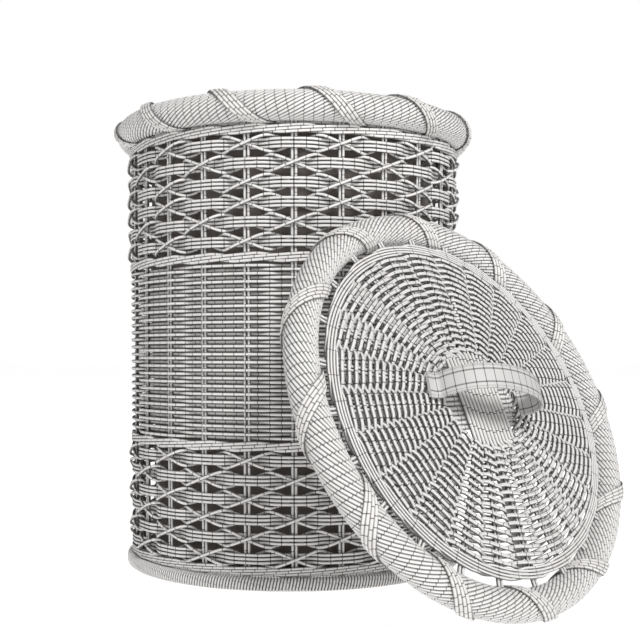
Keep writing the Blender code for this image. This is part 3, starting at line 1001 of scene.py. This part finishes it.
@dataclass
class Studio:
    """Camera, soft light and a pale floor."""

    axis: Row
    lens: float = 60.0
    shift: float = 0.1072
    distance: float = 1.43409
    height: float = 0.27426
    yaw: float = 1.385              # degrees to the right of +Y
    pitch: float = -1.889           # degrees above level
    ambient: float = 0.26

    def camera(self) -> None:
        """The camera, in front of the basket and a little above its middle."""
        data = bpy.data.cameras.new("camera")
        data.lens, data.sensor_width, data.shift_y = self.lens, 36.0, self.shift
        data.clip_start, data.clip_end = 0.05, 60.0
        holder = bpy.data.objects.new("camera", data)
        yaw, pitch = math.radians(self.yaw), math.radians(self.pitch)
        ahead = Vector((math.sin(yaw) * math.cos(pitch), math.cos(yaw) * math.cos(pitch), math.sin(pitch)))
        holder.rotation_euler = ahead.to_track_quat("-Z", "Y").to_euler()
        holder.location = (self.axis[0], self.axis[1] - self.distance, self.height)
        bpy.context.scene.collection.objects.link(holder)
        bpy.context.scene.camera = holder

    def lamp(self, name: str, place: Sequence[float], aim: Sequence[float], size: float,
             power: float) -> None:
        """A square soft lamp that looks at a point."""
        data = bpy.data.lights.new(name, "AREA")
        data.shape, data.size, data.energy = "SQUARE", size, power
        holder = bpy.data.objects.new(name, data)
        holder.location = place
        holder.rotation_euler = (Vector(aim) - Vector(place)).to_track_quat("-Z", "Y").to_euler()
        bpy.context.scene.collection.objects.link(holder)

    def light(self) -> None:
        """A white surround, seen whiter than it lights, and two soft lamps."""
        world = bpy.data.worlds.new("studio")
        world.use_nodes = True
        tree = world.node_tree
        ground = tree.nodes["Background"]
        ground.inputs["Strength"].default_value = self.ambient
        seen = tree.nodes.new("ShaderNodeBackground")
        seen.inputs["Color"].default_value = (1.0, 1.0, 1.0, 1.0)
        ground.inputs["Color"].default_value = (1.0, 1.0, 1.0, 1.0)
        ray, blend = tree.nodes.new("ShaderNodeLightPath"), tree.nodes.new("ShaderNodeMixShader")
        tree.links.new(ray.outputs["Is Camera Ray"], blend.inputs[0])
        tree.links.new(ground.outputs[0], blend.inputs[1])
        tree.links.new(seen.outputs[0], blend.inputs[2])
        tree.links.new(blend.outputs[0], tree.nodes["World Output"].inputs["Surface"])
        bpy.context.scene.world = world
        bpy.context.scene.view_settings.view_transform = "Standard"
        middle = (0.0, 0.0, 0.30)
        self.lamp("key", (0.9, -2.6, 2.6), middle, 1.0, 103.0)
        self.lamp("fill", (-2.2, -2.0, 1.2), middle, 1.8, 3.0)
        self.lamp("back", (-0.4, 3.0, 2.1), middle, 1.6, 42.0)

    def floor(self) -> None:
        """The floor, far wider than the view."""
        mesh = bpy.data.meshes.new("studio_floor")
        far = 30.0
        mesh.from_pydata([(-far, -far, 0), (far, -far, 0), (far, far, 0), (-far, far, 0)], [], [(0, 1, 2, 3)])
        mesh.materials.append(dressing(PlainFinish("studio_floor", (0.50, 0.50, 0.50))))
        floor = bpy.data.objects.new("studio_floor", mesh)
        floor.location.z = -0.0005
        bpy.context.scene.collection.objects.link(floor)


def wall_place() -> Place:
    """The wall's frame: on the stakes' axis, with angle 0 at the front."""
    low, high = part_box("stakes")
    middle = (low + high) / 2
    return Place(np.array([middle.x, middle.y, 0.0]), np.array([0.0, -1.0, 0.0]), np.array([1.0, 0.0, 0.0]),
                 np.array([0.0, 0.0, 1.0]))


def lid_place(frame: dict) -> Place:
    """The lid's frame: its lift joint gives the way that it faces, and its core ring gives its middle."""
    lift = next(joint for joint in frame["joints"] if joint["child"] == "lid")
    out = unit(np.array(lift["axis"], float))
    level = unit(np.cross([0.0, 0.0, 1.0], out))
    low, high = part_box("lid_rim_core")
    return Place(np.array((low + high) / 2), level, np.cross(out, level), out)


def main() -> None:
    """Builds the basket, its liner and its lid, and then the studio."""
    logging.basicConfig(level=logging.INFO, format="%(message)s")
    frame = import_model()
    rod = StrandFinish("stake_cane", ring_pitch=0.021, fibre_lines=6)
    weaver = StrandFinish("weaving_cane")
    wrap = StrandFinish("wrapping_cane", ring_pitch=0.0125, ring_depth=0.75, fibre_depth=0.15, painted_side_shade=0.8)
    foot = StrandFinish("foot_cane", ring_pitch=0.0085, ring_width=0.0008, ring_depth=0.5, fibre_depth=0.15)
    edge = StrandFinish("edge_cane", ring_pitch=0.029, ring_depth=0.6)
    lid_cane = StrandFinish("lid_cane", fibre_lines=4, fibre_depth=0.5, ring_pitch=0.0125)
    band = StrandFinish("band_cane", light=(0.84, 0.825, 0.805), ring_pitch=0.0105, fibre_depth=0.2)
    # Painted shade: the strap uses a darker copy of the cane colours, so that it reads less brightly lit than
    # the lamps make it.
    strap = StrandFinish("strap_splint", light=(0.58, 0.57, 0.56), dark=(0.50, 0.49, 0.48), ring_pitch=0.0105,
                         ring_width=0.0012, ring_depth=0.85, fibre_lines=14, fibre_depth=0.75, painted_side_shade=0.0)
    core = CoreFinish("core_cane")
    cloth = ClothFinish("liner_cotton")
    hem = ClothFinish("hem_cotton", light=(0.25, 0.22, 0.20), dark=(0.155, 0.135, 0.12))

    round_wall = wall_place()
    wall = Wall(round_wall)
    wall.stakes(rod)
    for row in WALINGS:
        wall.waling(row, weaver)
    wall.open_bands(weaver)
    wall.close_band(weaver)
    wall.foot_ring(foot)
    wall.base(rod, weaver)
    rim = Roll(round_wall, 0.2144, 0.5560, 12.6, "basket", "rim", squeeze=0.0016)
    rim.wrapping(wrap, "roll_wrap")
    rim.bands(band, "roll_band")

    liner = Liner(round_wall)
    liner.side(cloth)
    liner.floor(cloth)
    liner.band(hem)

    leaning = lid_place(frame)
    lid = Lid(leaning)
    lid.slath(rod)
    lid.woven_rows(lid_cane)
    lid.edge_waling(edge)
    lid.strap(strap)
    lid_roll = Roll(leaning, 0.2197, 0.0, 2.9, "lid", "lid_rim", band_tube=0.0190, band_depth=0.0030)
    lid_roll.wrapping(wrap, "roll_wrap")
    lid_roll.bands(band, "roll_band")
    for node in ("rim_core", "lid_rim_core"):
        dress_node(frame, node, core)

    studio = Studio(round_wall.origin)
    studio.camera()
    studio.light()
    studio.floor()


if __name__ == "__main__":
    main()
